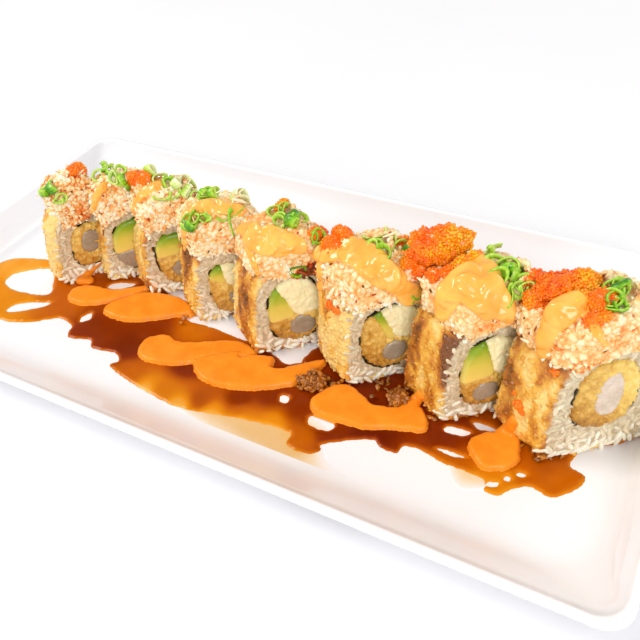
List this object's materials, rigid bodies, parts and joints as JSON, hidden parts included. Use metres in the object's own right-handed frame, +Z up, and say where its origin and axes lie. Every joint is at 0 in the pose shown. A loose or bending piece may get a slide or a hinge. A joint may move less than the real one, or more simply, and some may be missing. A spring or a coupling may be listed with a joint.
{
  "type": "sushi roll",
  "caption": "Inside-out shrimp tempura roll cut into slices that stand in a row on a long white plate, topped with crab salad, roe and scallion, with two sauces.",
  "frame": {"origin": "middle of the plate's underside", "axes": "+X along the plate's long side and the row of slices, +Z up"},
  "size_m": [0.3, 0.1564, 0.0704],
  "materials": {
    "plate": "white glazed porcelain, glossy",
    "dark_sauce": "dark brown sweet soy glaze, wet and glossy",
    "spicy_mayo": "orange spicy mayonnaise, smooth with a soft shine",
    "rice": "steamed short-grain rice, translucent white, with golden crumbs outside",
    "nori": "dark green-black seaweed sheet, damp",
    "batter": "fried golden-brown batter, rough",
    "shrimp": "cooked prawn meat, pearly grey-pink",
    "crab_salad": "shredded crab salad with orange roe and mayonnaise",
    "avocado": "ripe avocado, green rim to yellow",
    "cream_cheese": "pale cream cheese, soft",
    "roe": "orange fish roe, tiny glossy beads",
    "crumbs": "fried crumbs soaked with dark sauce",
    "crumb_coat": "pale golden fried crumbs on the outside of the roll",
    "scallion": "fresh green scallion rings"
  },
  "bodies": {
    "root": {"plate": "plate", "sauce_pool": "dark_sauce", "mayo_1": "spicy_mayo", "mayo_2": "spicy_mayo", "mayo_3": "spicy_mayo", "mayo_4": "spicy_mayo", "mayo_5": "spicy_mayo", "rice_1": "rice", "nori_1": "nori", "batter_1": "batter", "shrimp_1": "shrimp", "topping_1": "crab_salad", "rice_2": "rice", "nori_2": "nori", "avocado_2": "avocado", "shrimp_2": "shrimp", "topping_2": "crab_salad", "rice_3": "rice", "nori_3": "nori", "avocado_3": "avocado", "batter_3": "batter", "shrimp_3": "shrimp", "topping_3": "crab_salad", "rice_4": "rice", "nori_4": "nori", "cream_4": "cream_cheese", "avocado_4": "avocado", "batter_4": "batter", "shrimp_4": "shrimp", "topping_4": "crab_salad", "rice_5": "rice", "nori_5": "nori", "cream_5": "cream_cheese", "avocado_5": "avocado", "batter_5": "batter", "shrimp_5": "shrimp", "topping_5": "crab_salad", "rice_6": "rice", "nori_6": "nori", "cream_6": "cream_cheese", "avocado_6": "avocado", "batter_6": "batter", "shrimp_6": "shrimp", "topping_6": "crab_salad", "rice_7": "rice", "nori_7": "nori", "cream_7": "cream_cheese", "avocado_7": "avocado", "batter_7": "batter", "shrimp_7": "shrimp", "topping_7": "crab_salad", "rice_8": "rice", "nori_8": "nori", "batter_8": "batter", "shrimp_8": "shrimp", "topping_8": "crab_salad", "roe_1": "roe", "roe_2": "roe", "crumbs_1": "crumbs", "crumbs_2": "crumbs"}
  },
  "joints": []
}
